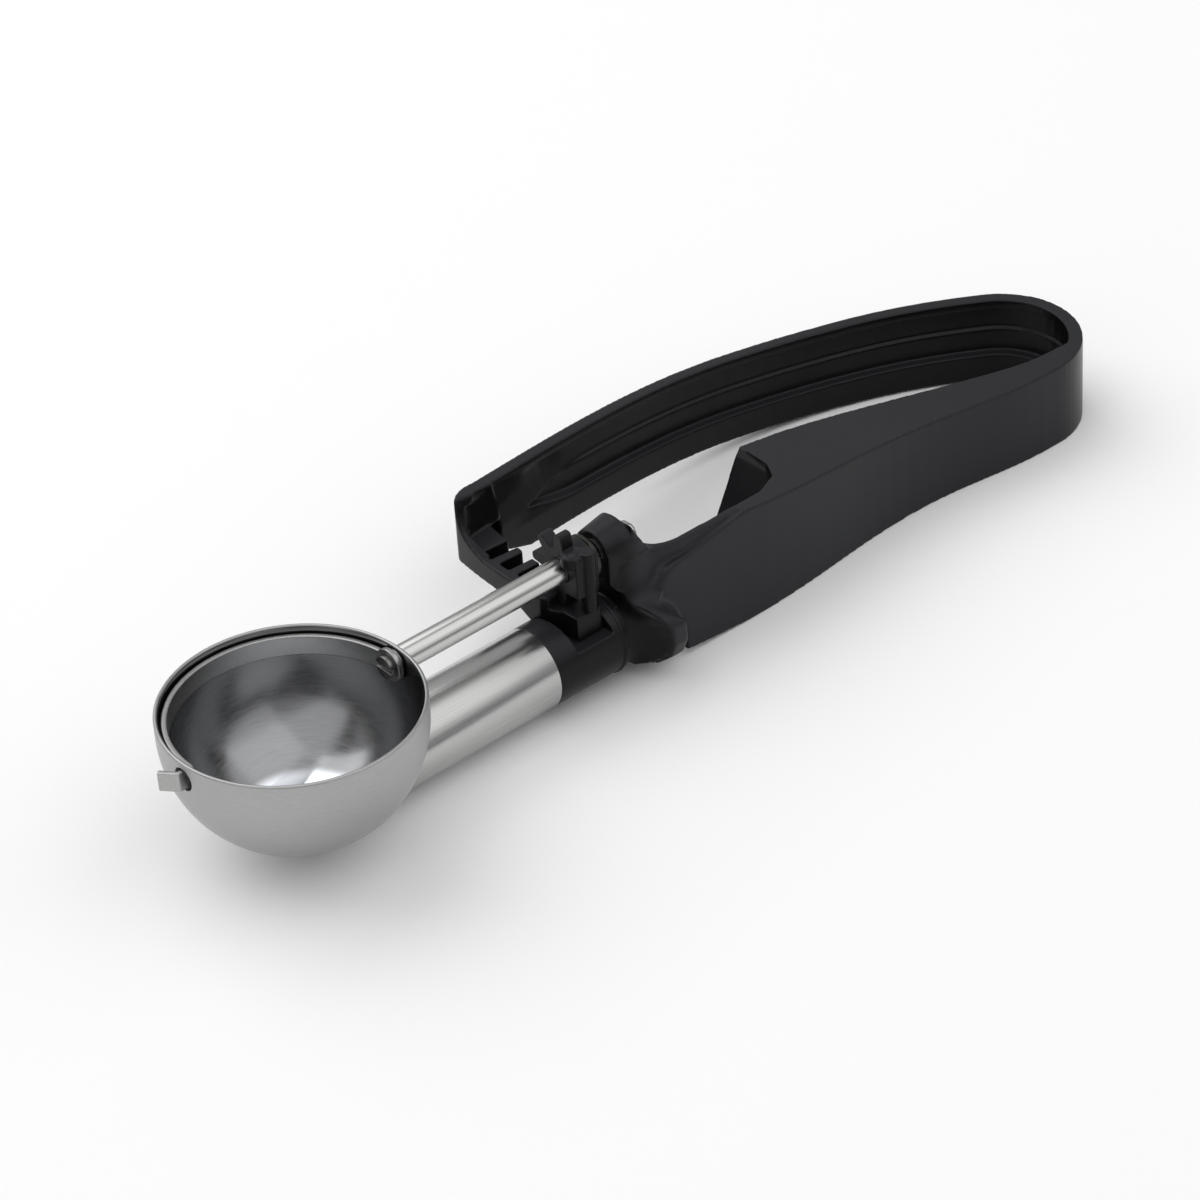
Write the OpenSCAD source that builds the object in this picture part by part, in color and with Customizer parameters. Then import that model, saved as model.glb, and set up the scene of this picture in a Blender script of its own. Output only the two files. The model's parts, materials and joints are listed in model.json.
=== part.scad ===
// Squeeze-handle portion scoop: a pressed steel bowl on a neck tube, a scraper
// blade turned by a rod and a sector pinion, and a one-piece moulded handle whose
// springy loop carries the rack.
//
// Tool frame used by the outlines: X runs from the bowl back to the handle, Z is the
// rim normal, and the zero point is the centre of the bowl, on the rod's own axis.
// place() moves every sub-part into the part's frame, whose zero point is the
// bottom centre of its bounding box.

/* [Bowl] */
// Outside radius of the bowl
bowl_r = 24; // [21:0.5:25]
// Thickness of the bowl's sheet
bowl_wall = 0.8; // [0.6:0.1:1.2]
// Height of the straight rim band above the half sphere
rim_h = 3.4; // [2:0.1:6]
// Diameter of the hole that the blade's tongue turns in
tongue_hole_d = 4.6; // [4.4:0.1:5.4]

/* [Scraper blade] */
// Thickness of the blade's strip
blade_t = 1.0; // [0.8:0.1:1.4]
// Width of the blade's strip
blade_w = 4.0; // [3.6:0.2:6]
// Gap between the blade and the inside of the bowl
blade_gap = 0.4; // [0.3:0.05:0.8]
// Width of the tongue at the blade's front end
tongue_w = 3.8; // [3:0.1:4]
// Length of the tongue past the bowl before it turns aside
tongue_neck = 0.9; // [0.7:0.1:1.5]
// Length of the tongue's turned part
tongue_tab = 3.6; // [2.5:0.1:5]
// Angle of the turned part to the rod
tongue_turn = 52; // [35:1:65]
// Diameter of the eye at the blade's rear end
eye_d = 6.4; // [5.6:0.1:8]

/* [Rod] */
// Diameter of the rod
rod_d = 5.0; // [4.4:0.1:5.4]
// Diameter of the rod's tenon through the blade's eye
tenon_d = 3.0; // [2.4:0.1:3.6]
// Diameter of the peened head on the tenon
head_d = 4.4; // [4:0.1:5.2]
// Thickness of the peened head
head_t = 1.1; // [0.8:0.1:1.6]
// Width of the slot across the peened head
head_slot = 0.9; // [0.6:0.1:1.2]
// Length of rod past the crown of the handle's ear
rod_tail = 3.8; // [3:0.1:6]
// Radial running clearance of the rod in its bores
rod_clear = 0.06; // [0.03:0.01:0.1]

/* [Neck tube] */
// Outside diameter of the neck tube
tube_d = 16; // [14:0.5:18]
// Wall of the neck tube
tube_wall = 1.0; // [0.8:0.1:1.4]
// Distance from the rod's axis down to the tube's axis
axis_drop = 17.8; // [16.5:0.1:18.5]
// Distance from the bowl's centre to the tube's rear end
tube_end = 54; // [48:1:56]
// Length of the handle's spigot inside the tube
spigot_len = 22; // [14:1:26]
// Radial clearance of the spigot in the tube
spigot_clear = 0.05; // [0.02:0.01:0.1]

/* [Pinion and rack] */
// Distance between two teeth of the rack
tooth_pitch = 5.0; // [4.6:0.1:5.2]
// Teeth that a full turn of the pinion would hold
teeth_per_turn = 8;
// Teeth on the pinion's sector
sector_teeth = 5;
// Distance from the bowl's centre to the pinion's front face
pinion_x = 62; // [61.5:0.1:62.5]
// Length of the pinion along the rod
pinion_len = 5.2; // [4.8:0.1:5.6]
// Width of the pinion's teeth along the rod
tooth_w = 2.6; // [2:0.1:3.2]
// Height of a tooth above the rack's top face
tooth_depth = 1.6; // [1.3:0.1:1.8]
// Thickness of a tooth at its tip
tooth_tip = 1.4; // [1:0.1:1.6]
// Thickness of a tooth at its root
tooth_root = 2.6; // [2.2:0.1:3]
// Radius of the pinion's hub
hub_r = 4.6; // [4:0.1:5]
// Distance from the rod's axis to the pinion's flat side
flat_y = 4.7; // [4:0.1:5.5]
// Radius of the rounded stop post on the flat side
post_r = 1.5; // [1:0.1:2]
// Width of a slot in the rack
slot_w = 2.8; // [2.6:0.1:3]
// Clearance between a tooth's front end and the slot's closed end
slot_end = 0.8; // [0.5:0.1:1]
// Depth of a slot in the rack
slot_depth = 2.9; // [2.4:0.1:3.4]
// Thickness of the retaining washer
washer_t = 0.8; // [0.6:0.1:1]
// Diameter of the retaining washer
washer_d = 9.0; // [8:0.2:10]

/* [Rack arm] */
// Distance from the bowl's centre to the arm's front face
arm_x = 59.2; // [58.5:0.1:60]
// Width of the arm along the rod
arm_w = 7.4; // [6.8:0.1:7.8]
// Thickness of the arm under its toothed part
arm_t = 4.4; // [3.8:0.1:5]
// Thickness of the arm's deep end block
block_t = 4.9; // [4:0.1:5.4]
// Step from the toothed top down to the end block
block_step = 2.5; // [2:0.1:3]
// Reach of the end block past the rod's axis
block_reach = 4.7; // [4:0.1:6]
// Clearance between the arm and its guide in the collar
guide_clear = 0.4; // [0.3:0.05:0.6]

/* [Loop] */
// Distance from the bowl's centre to the centre of the rear bend
bend_x = 184.2; // [170:1:200]
// Sideways distance from the rod to the centre of the rear bend
bend_y = 7.8; // [6:0.2:9]
// Outside radius of the rear bend
bend_r = 16.6; // [15.6:0.2:17.6]
// Sideways reach of the loop's front corner
corner_y = 31.6; // [30:0.2:34]
// Radius of the loop's front corner
corner_r = 8.5; // [7:0.5:9.5]
// Height of the loop's strip
strip_h = 17.5; // [15:0.5:18]
// Thickness of the strip's outer web
web_t = 1.8; // [1.4:0.1:2.4]
// Width of the strip's top lip
lip_w = 2.9; // [2.4:0.1:3.4]
// Height of the strip's top lip
lip_h = 1.8; // [1.2:0.1:2.6]
// Thickness of the web below its middle step
step_t = 2.5; // [2.4:0.1:3]
// Depth of that step below the handle's top line
step_h = 6.8; // [6:0.1:8]
// Width of the strip's lower flange
flange_w = 4.5; // [4:0.1:5.5]
// Height of the strip's lower flange
flange_h = 5.8; // [4.5:0.1:7]
// Gap left at the cut through the springy bend
bend_gap = 0.3; // [0.2:0.05:0.5]
// Angle of that cut, from the rod's direction
bend_cut = 14; // [5:1:30]

/* [Grip] */
// Distance from the tube's axis down to the grip's underside
grip_drop = 9.3; // [8.8:0.1:10.5]
// Distance from the tube's axis out to the palm side at the front
palm_y = 8.0; // [7.6:0.1:9]
// Distance from the tube's axis out to the palm side at the waist
waist_y = 5.2; // [4.5:0.1:7]
// Distance from the bowl's centre to the waist
waist_x = 146; // [138:1:150]
// Thickness of the palm wall ahead of the pad
panel_t = 2.2; // [1.8:0.1:3]
// Thickness of the rib that runs from the ear along the wall's top
rib_t = 1.8; // [1.4:0.1:2.4]
// Depth of the ledge beside that rib
ledge_h = 2.6; // [2:0.1:3.2]
// Distance from the bowl's centre to the front corner of the finger pad
pad_x = 117; // [112:1:122]
// Sideways reach of the finger pad at its front corner
pad_y = 11.2; // [9:0.2:13]
// Forward lean of the pad's front face over its height
pad_lean = 7.5; // [3:0.5:9]
// Length of the collar between the tube and the end of its bead
collar_len = 16.3; // [15.5:0.1:18]
// Height of the bead round the collar's rear end
bead_h = 0.3; // [0.2:0.1:0.6]
// Outside radius of the bearing ear
ear_r = 5.4; // [4.8:0.1:6]
// Gap between the retaining washer and the ear
ear_gap = 1.5; // [0.3:0.1:2]
// Length of the ear along its crown
ear_len = 5.9; // [5:0.1:7]
// Slope of the ear's back, in degrees
ear_slope = 62; // [50:1:75]
// Sideways reach of the finger guard from the tube's axis
guard_y = 14; // [12:0.2:16]

/* [Hidden] */
$fn = 64;
far = 400;

// Bowl and blade
inner_r = bowl_r - bowl_wall;
blade_r = inner_r - blade_gap;

// Pinion and rack: the pitch circle rolls on the rack's pitch line
pitch_r = tooth_pitch * teeth_per_turn / 360 * 180 / PI;
tooth_step = 360 / teeth_per_turn;
rack_z = -(pitch_r - 0.4);
tip_r = -rack_z + tooth_depth;
mid_x = pinion_x + tooth_w / 2;
mesh_r = norm([bend_x - mid_x, bend_y]);
slot_turn = tooth_pitch / mesh_r * 90 / PI;

// Washer, ear and rod end along the rod
play = 0.2;
washer_x = pinion_x + pinion_len + play;
ear_x = washer_x + washer_t + ear_gap;
crown_x = ear_x + ear_len;
rod_end = crown_x + rod_tail;

// Heights
tube_z = -axis_drop;
tube_r = tube_d / 2;
floor_z = tube_z - grip_drop;
bead_x = tube_end + collar_len;

// Top line of the handle: it falls in a straight slope from the ear, then levels out
slope = 0.126;
level_z = tube_z + 8.5;
slope_end = 140;
level_start = 170;
ease = level_start - slope_end;
function top_z(x) =
    x >= level_start ? level_z :
    x > slope_end ? level_z + slope * pow(level_start - x, 2) / (2 * ease) :
    level_z + slope * ease / 2 + slope * (slope_end - x);
top_line = concat([[arm_x - 1, top_z(arm_x - 1)]], [for (x = [slope_end : 5 : level_start]) [x, top_z(x)]],
                  [[bend_x + 2 * bend_r, level_z]]);

// Plan outlines
function bezier(a, b, c, d, n) =
    [for (i = [0 : n]) let (t = i / n, s = 1 - t)
        s * s * s * a + 3 * s * s * t * b + 3 * s * t * t * c + t * t * t * d];
function arc(c, r, from, to, n) =
    [for (i = [0 : n]) let (a = from + (to - from) * i / n) c + r * [cos(a), sin(a)]];
function unit(v) = v / norm(v);
// Points moved sideways from a path by a distance, to the right of its direction
function beside(path, d) =
    [for (i = [0 : len(path) - 1])
        let (a = path[max(i - 1, 0)], b = path[min(i + 1, len(path) - 1)], u = unit(b - a))
        path[i] + d * [u[1], -u[0]]];
function reversed(list) = [for (i = [len(list) - 1 : -1 : 0]) list[i]];

bend_c = [bend_x, bend_y];
side_angle = 55;
far_a = [arm_x + corner_r, corner_y];
far_d = bend_c + bend_r * [cos(side_angle), sin(side_angle)];
far_pull = 50;
far_side = bezier(far_a, far_a + far_pull * [cos(12), sin(12)],
                  far_d + far_pull * [-sin(side_angle), cos(side_angle)], far_d, 24);
corner = arc([arm_x + corner_r, corner_y - corner_r], corner_r, 180, 96, 6);
rear_arc = arc(bend_c, bend_r, side_angle - 6, bend_cut - 6, 6);
lever_outer = concat([[arm_x, corner_y - 1.4 * corner_r]], corner, far_side, rear_arc);
loop_y = max([for (p = lever_outer) p[1]]);

// Part frame
tongue_end = bowl_r + tongue_neck + tongue_tab * cos(tongue_turn) + blade_t / 2 * sin(tongue_turn);
origin_x = (bend_x + bend_r - tongue_end) / 2;
origin_y = (loop_y - bowl_r) / 2;
module place() translate([-origin_x, -origin_y, -floor_z]) children();

// A solid cylinder along X from x0 to x1
module bar_x(r, x0, x1, y = 0, z = 0)
    translate([x0, y, z]) rotate([0, 90, 0]) cylinder(r = r, h = x1 - x0);

// An outline in X and Z, cut straight through along Y
module side_cut(points) rotate([90, 0, 0]) linear_extrude(far, center = true) polygon(points);

// An outline in Y and Z, cut straight through along X
module front_cut(points)
    rotate([90, 0, 90]) linear_extrude(far, center = true) polygon(points);

// An outline in plan, cut straight through along Z
module plan_cut(points) linear_extrude(far, center = true) polygon(points);

// The space between two heights below the handle's top line
module below_top(from, to)
    side_cut(concat([for (p = top_line) p - [0, from]],
                    reversed([for (p = top_line) p - [0, to]])));

// ---------------------------------------------------------------- bowl and blade

module bowl_form(r) {
    difference() {
        sphere(r = r);
        translate([-far / 2, -far / 2, 0]) cube(far);
    }
    cylinder(r = r, h = rim_h);
}

module bowl() color("silver") place() difference() {
    bowl_form(bowl_r);
    sphere(r = inner_r);
    cylinder(r = inner_r, h = rim_h + 1);
    bar_x(tongue_hole_d / 2, -bowl_r - 1, -bowl_r / 2);
    bar_x(rod_d / 2 + rod_clear, bowl_r / 2, bowl_r + 1);
}

module neck_tube() color("lightgray") place() difference() {
    bar_x(tube_r, 0, tube_end, z = tube_z);
    bar_x(tube_r - tube_wall, -1, tube_end + 1, z = tube_z);
    sphere(r = bowl_r);
}

module tongue() {
    heel = [-blade_r + blade_t, 0];
    bend = [-bowl_r - tongue_neck, 0];
    tip = bend + tongue_tab * [-cos(tongue_turn), sin(tongue_turn)];
    path = [heel, bend, tip];
    linear_extrude(tongue_w, center = true)
        polygon(concat(beside(path, blade_t / 2), reversed(beside(path, -blade_t / 2))));
}

module scraper_blade() color("gainsboro") place() {
    difference() {
        intersection() {
            difference() {
                sphere(r = blade_r);
                sphere(r = blade_r - blade_t);
            }
            union() {
                translate([-far / 2, 0, -blade_w / 2]) cube([far, far, blade_w]);
                bar_x(eye_d / 2, 0, far);
            }
        }
        bar_x(tenon_d / 2, 0, far);
    }
    tongue();
}

// ---------------------------------------------------------------- rod and pinion

// The peened head is flat on the curved eye, and the rod's shoulder stands just behind it
head_x = sqrt(pow(blade_r - blade_t, 2) - pow(head_d / 2, 2)) - 0.03;
shoulder_x = blade_r + 0.1;
rod_bevel = 0.8;

module rod() color("silver") place() {
    bar_x(rod_d / 2, shoulder_x, rod_end - rod_bevel);
    translate([rod_end - rod_bevel, 0, 0]) rotate([0, 90, 0])
        cylinder(r1 = rod_d / 2, r2 = rod_d / 2 - rod_bevel, h = rod_bevel);
    bar_x(tenon_d / 2, head_x - head_t / 2, shoulder_x + 1);
    difference() {
        bar_x(head_d / 2, head_x - head_t, head_x);
        translate([head_x - head_t - 1, -head_d, -head_slot / 2])
            cube([head_t / 2 + 1, 2 * head_d, head_slot]);
    }
}

// One tooth of the sector, pointing up, as an outline in Y and Z
tip_bevel = 0.4;
tooth_side = [[tooth_root / 2, 0], [tooth_root / 2, hub_r],
              [(tooth_tip + tip_bevel) / 2, tip_r - tip_bevel],
              [(tooth_tip - tip_bevel) / 2, tip_r]];
tooth = concat(tooth_side, reversed([for (p = tooth_side) [-p[0], p[1]]]));

// The stop post stands across the block's flat side, under a domed cap
post_x = pinion_x + pinion_len - post_r - 0.6;
post_y = -flat_y + post_r / 4;
post_foot = rack_z - block_step + 0.5;

module pinion() color("#2b2b2d") place() difference() {
    union() {
        bar_x(hub_r, pinion_x, pinion_x + pinion_len);
        for (i = [0 : sector_teeth - 1])
            translate([pinion_x, 0, 0]) rotate([-tooth_step * i, 0, 0]) rotate([90, 0, 90])
                linear_extrude(tooth_w) polygon(tooth);
        translate([pinion_x, -flat_y, -hub_r]) cube([pinion_len, flat_y, 2 * hub_r - 0.6]);
        translate([post_x, post_y, post_foot]) cylinder(r = post_r, h = hub_r - post_foot);
    }
    bar_x(rod_d / 2, 0, far);
}

module retaining_washer() color("silver") place() difference() {
    bar_x(washer_d / 2, washer_x, washer_x + washer_t);
    bar_x(rod_d / 2, 0, far);
}

// ---------------------------------------------------------------- loop and rack

// The band from an outer path to a depth beside it, between two heights below the top line
module strip(path, depth, from, to) intersection() {
    plan_cut(concat(path, reversed(beside(path, depth))));
    below_top(from, to);
}

// The loop's section: a lip, a thin web with a small step, and a flange, open to the inside
module channel(path) {
    strip(path, web_t, 0, strip_h);
    strip(path, lip_w, 0, lip_h);
    strip(path, step_t, step_h, strip_h);
    strip(path, flange_w, strip_h - flange_h, strip_h);
}

// The grip's side of the cut through the bend, moved off the cut by a gap
cut_way = [cos(bend_cut), sin(bend_cut)];
module past_cut(gap) {
    start = bend_c + gap * [cut_way[1], -cut_way[0]];
    plan_cut([start, start + far * cut_way, start + [far, -far], start - [0, far]]);
}

arm_bottom = rack_z - arm_t;
arm_front_r = norm([bend_x - arm_x, bend_y]);
shallow_x = arm_x + 2.4 * corner_r;
lip_end = corner_y - 3.2;
wall_drop = bezier([lip_end, top_z(arm_x)], [lip_end - 1.8, rack_z + 2.8],
                   [lip_end - 3, rack_z + 1.4], [lip_end - 9, rack_z], 8);

module loop_strip() difference() {
    // The front wall keeps to the arm's own arc, so that it clears the collar when squeezed
    intersection() {
        channel(lever_outer);
        translate(bend_c) cylinder(r = arm_front_r, h = far, center = true, $fn = 180);
    }
    past_cut(0);
    // The strip is shallow at the front corner, where the arm takes over
    side_cut([[0, -far], [0, arm_bottom], [arm_x + corner_r / 2, arm_bottom],
              [shallow_x, top_z(shallow_x) - strip_h], [shallow_x, -far]]);
    // The front wall sweeps down from the lip to the toothed top of the arm
    intersection() {
        front_cut(concat(wall_drop, [[lip_end - 12, rack_z], [lip_end - 12, far], [lip_end, far]]));
        translate([0, -far / 2, -far / 2]) cube([arm_x + corner_r, far, far]);
    }
}

module squeeze_lever() color("#2b2b2d") place() loop_strip();

// The arm runs on an arc about the bend, so that it slides through its guide without turning in it
arm_back = arm_x + arm_w;
arm_root = corner_y - flange_w;
block_front = arm_x + 2.2;
block_back = arm_back + 0.4;
block_back_r = norm([bend_x - block_back, bend_y]);
block_z = rack_z - block_step;
block_bottom = block_z - block_t;
deep_y = 4;

module arc_band(outer, inner) translate(bend_c) difference() {
    cylinder(r = outer, h = far, center = true, $fn = 180);
    cylinder(r = inner, h = far, center = true, $fn = 180);
}

module rack_arm() color("#2b2b2d") place() difference() {
    intersection() {
        plan_cut([[arm_x - 1, corner_y - corner_r], [arm_x - 1, deep_y], [block_front, -1],
                  [block_front, -block_reach],
                  [far, -block_reach], [far, 2], [arm_back, deep_y], [arm_back, 16],
                  [arm_back + 6, arm_root], [arm_back + 3, arm_root + 2],
                  [arm_x + 3, arm_root + 2], [arm_x + 1, arm_root]]);
        arc_band(arm_front_r, block_back_r);
        front_cut([[-block_reach, block_z], [slot_w / 2, block_z], [slot_w / 2, rack_z],
                   [far, rack_z], [far, arm_bottom], [deep_y + 6, arm_bottom],
                   [deep_y, block_bottom], [-block_reach, block_bottom]]);
    }
    loop_strip();
    for (i = [1 : sector_teeth - 1])
        translate([mid_x, tooth_pitch * i, 0]) rotate([0, 0, -slot_turn * i])
            translate([-tooth_w / 2 - slot_end, -slot_w / 2, rack_z - slot_depth])
                cube([far, slot_w, far]);
}

// ---------------------------------------------------------------- handle body

// Places along the handle: the guard stands behind the bead, the wall starts as a rounded
// nose behind the guard, and its top edge meets the rib's further back.
bead_w = 0.8;
guard_x = bead_x + 1.7;
guard_tip = guard_x + 4.2;
nose_x = bead_x + 9.1;
neck_end = bead_x + 14;
seam_x = neck_end + 0.5;
rib_end = neck_end + 16;
neck_r = tube_r - bead_w;

module collar() color("#2b2b2d") place() difference() {
    union() {
        bar_x(tube_r, tube_end, bead_x, z = tube_z);
        bar_x(tube_r + bead_h, bead_x - bead_w, bead_x, z = tube_z);
        bar_x(tube_r - tube_wall - spigot_clear, tube_end - spigot_len, tube_end, z = tube_z);
    }
    intersection() {
        arc_band(arm_front_r + guide_clear, block_back_r - guide_clear);
        translate([tube_end, -far / 2, block_bottom - guide_clear]) cube([collar_len, far, far]);
    }
}

// Plan of the grip: the palm side, the near half of the rear bend, and the finger pad's edge
near_side = concat(bezier([bend_x, bend_y - bend_r], [bend_x - 16, bend_y - bend_r],
                          [waist_x + 16, -waist_y], [waist_x, -waist_y], 10),
                   bezier([waist_x, -waist_y], [waist_x - 16, -waist_y],
                          [bead_x + 50, -palm_y], [bead_x + 30, -palm_y], 10));
pad_edge = bezier([pad_x, pad_y], [pad_x + 38, pad_y - 0.7],
                  [bend_x - 12, bend_y - bend_r + 6.7], [bend_x, bend_y - bend_r + 5.7], 12);
bend_start = -50;
bend_join = bend_start - 6;
grip_plan = concat([[nose_x - 1, -palm_y]], reversed(near_side),
                   arc(bend_c, bend_r, -84, bend_start, 6), arc(bend_c, bend_r - lip_w, bend_start, bend_join, 1),
                   reversed(pad_edge),
                   [[pad_x - 0.6, 3], [pad_x - 3, -1], [pad_x - 9, -palm_y + panel_t + 1.8],
                    [pad_x - 20, -palm_y + panel_t + 0.3], [nose_x - 1, -palm_y + panel_t]]);

// The wall's front end is a rounded nose above the guard. Its top edge stays below the
// rib as a ledge, and its lower front corner lifts off the table.
rib_z = top_z(neck_end) - 1.8;
ledge_z = rib_z - ledge_h;
nose_z = ledge_z - 3.4;
nose_top = bezier([neck_end + 2, ledge_z], [nose_x + 3, ledge_z - 0.4],
                  [nose_x, nose_z + 2.6], [nose_x, nose_z], 4);
nose_back = bezier([nose_x, nose_z], [nose_x, nose_z - 4.3],
                   [seam_x - 0.2, tube_z + 2.3], [seam_x, tube_z - 4.2], 6);

module panel() intersection() {
    plan_cut(grip_plan);
    side_cut(concat([[rib_end, top_z(rib_end)]], [for (p = top_line) if (p[0] > rib_end) p],
                    [[bend_x + 2 * bend_r, floor_z], [rib_end, floor_z], [seam_x, floor_z + 1.3]],
                    reversed(nose_back), reversed(nose_top)));
}

// The near half of the rear bend, which goes on with the loop's own section
module bend_end() intersection() {
    channel(arc(bend_c, bend_r, bend_cut + 8, bend_start - 8, 9));
    past_cut(bend_gap);
}

// The pad's lower front carries forward under its leaning front face
pad_toe = pad_x - 1.65 * pad_lean;
foot_end = pad_x + 12;

module pad_foot() intersection() {
    side_cut([[pad_x - 1.2, top_z(pad_x) - 1.5], [pad_x, top_z(pad_x)], [foot_end, top_z(foot_end)],
              [foot_end, floor_z], [pad_toe, floor_z], [pad_x - pad_lean, tube_z]]);
    plan_cut([[pad_toe, -palm_y + 1], [foot_end, -palm_y + 2], [foot_end, pad_y - 0.5],
              [pad_x, pad_y - 0.1], [pad_toe, pad_y - 0.6]]);
}

// The ear that carries the rod: a boss on a web, with a back that slopes down to the rib
ear_sole = tube_z + tube_r + bead_h + 0.2;
web_y = ear_r - 0.6;
ear_back = crown_x + (ear_r - rib_z) / tan(ear_slope);
back_edge = bezier([ear_back, 1], [ear_back + 1, -3], [ear_back + 3, -palm_y + panel_t + 1],
                   [ear_back + 6.5, -palm_y + panel_t + 0.8], 6);
rib_y = -palm_y + panel_t + 0.8 - rib_t;

module ear_side(bottom) side_cut([[guard_x, bottom], [guard_x, nose_z], [ear_x, ledge_z - 0.3],
                                  [ear_x, far], [crown_x, far], [crown_x, ear_r - 0.4],
                                  [ear_back - 0.6, rib_z + 1], [ear_back, rib_z + 0.4],
                                  [ear_back + 1.2, rib_z], [neck_end, rib_z],
                                  [rib_end, top_z(rib_end)], [rib_end, bottom]]);

module ear() intersection() {
    union() {
        translate([ear_x, 0, 0]) rotate([0, 90, 0]) cylinder(r1 = ear_r - 0.9, r2 = ear_r, h = ear_len);
        bar_x(ear_r, crown_x, seam_x);
        front_cut([[-web_y, 1], [-web_y, nose_z], [-neck_r + 0.5, tube_z + 3], [-neck_r + 0.5, tube_z],
                   [neck_r - 0.5, tube_z], [neck_r - 0.5, tube_z + 3], [ear_r - 1, nose_z], [ear_r - 1, 0]]);
    }
    union() {
        ear_side(ear_sole);
        side_cut([[guard_x, tube_z], [guard_x, ear_sole], [neck_end, ear_sole], [neck_end, tube_z]]);
    }
    plan_cut(concat([[ear_x, far], [ear_x, -far], [nose_x, -far], [nose_x, -web_y]],
                    [for (p = reversed(back_edge)) if (p[0] < nose_x) p], [[ear_back - 3, far]]));
}

// The rib swings out from the ear's web to the wall's top, and its foot is a round ridge
module rib() intersection() {
    plan_cut(concat(bezier([crown_x, -web_y], [crown_x + 5, -web_y], [neck_end - 2, rib_y],
                           [neck_end + 4, rib_y], 6),
                    [[rib_end, rib_y], [rib_end, rib_y + rib_t]], reversed(back_edge), [[crown_x, 1]]));
    ear_side(nose_z - 2);
}

ridge_r = 0.9;
module ridge() hull() {
    translate([guard_x, -web_y + 0.3, ledge_z - 2.2]) sphere(r = ridge_r, $fn = 32);
    translate([rib_end - 4, rib_y - 0.3, ledge_z - 0.5]) sphere(r = ridge_r, $fn = 32);
}

// The round neck behind the bead, a little thinner than the collar, with a domed end
neck_dome = neck_end - neck_r + 2.5;

module neck() {
    bar_x(neck_r, bead_x, neck_dome, z = tube_z);
    translate([neck_dome, 0, tube_z]) sphere(r = neck_r);
}

// The finger guard is lofted between its front edge, which flares out and down to the
// tip and back in under the neck, and the seam where it runs into the palm wall.
guard_z = tube_z + 4.2;
guard_low = tube_z - 6;
guard_top = bezier([guard_x, -web_y + 0.4, nose_z + 0.4], [guard_x, -web_y - 3, nose_z - 1.4],
                   [guard_tip - 1, -guard_y + 1.4, guard_z + 2.8], [guard_tip, -guard_y, guard_z], 6);
guard_foot = bezier([guard_tip, -guard_y, guard_z], [guard_tip + 0.6, -guard_y - 0.4, guard_z - 6],
                    [guard_tip + 0.6, -guard_y + 1, guard_z - 10], [guard_x + 1, -web_y - 0.6, guard_low], 4);
guard_front = concat(guard_top, [for (i = [1 : 4]) guard_foot[i]]);
seam = concat([for (i = [1 : 4]) nose_top[i]], [for (i = [1 : 6]) nose_back[i]], [[seam_x, guard_low + 0.3]]);
sharp_edge = 0.6;
guard_edge = 3.6;
guard_hollow = 0.9;

// One section of the guard: front edge, outer edge, a hollow curve to the seam inside the
// wall, and two points inside the neck
function guard_section(i) =
    let (front = guard_front[i], back = [seam[i][0] + 0.5, -palm_y + 0.7, seam[i][1]],
         rise = pow(min(1, i / 6), 2),
         outer = front + [sharp_edge + (guard_edge - sharp_edge) * rise, 0.1, -0.1])
    concat([front], [for (u = [0 : 0.25 : 1])
                        outer + (back - outer) * u + guard_hollow * sin(180 * u) * [-0.2, 0.6, -0.6]],
           [[back[0], -palm_y + panel_t - 0.4, back[2]], [front[0] + 1, -2, front[2]]]);

// A closed skin over sections that have the same number of points
module loft(sections) {
    n = len(sections[0]);
    last = len(sections) - 1;
    polyhedron(
        points = [for (s = sections) each s],
        faces = concat([for (k = [0 : n - 3]) [n - 1, k + 1, k]],
                       [for (k = [0 : n - 3]) [last * n + n - 1, last * n + k, last * n + k + 1]],
                       [for (i = [0 : last - 1], k = [0 : n - 1], half = [0, 1])
                           let (a = i * n + k, b = i * n + (k + 1) % n)
                           half == 0 ? [a, b, a + n] : [b, b + n, a + n]]));
}

module guard() loft([for (i = [0 : len(seam) - 1]) guard_section(i)]);

module handle_grip() color("#2b2b2d") place() difference() {
    union() {
        panel();
        bend_end();
        pad_foot();
        ear();
        rib();
        ridge();
        neck();
        guard();
    }
    bar_x(rod_d / 2 + rod_clear, 0, far);
}

bowl();
neck_tube();
collar();
handle_grip();
rod();
scraper_blade();
pinion();
retaining_washer();
squeeze_lever();
rack_arm();
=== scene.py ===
"""Looks of the squeeze-handle portion scoop: brushed steel bowl, tube, rod and blade, and a
one-piece moulded black handle that springs at its rear bend.

Lengths are in millimetres in the tool frame until at() turns them into the row frame: X runs
from the bowl back to the handle, Z is the bowl's rim normal, and the zero point is the centre
of the bowl, on the rod's own axis. Angles are in degrees until they are used.
"""
import json
import math

import bmesh
import bpy
import numpy as np
from mathutils import Matrix, Vector
from mathutils.bvhtree import BVHTree

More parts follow.
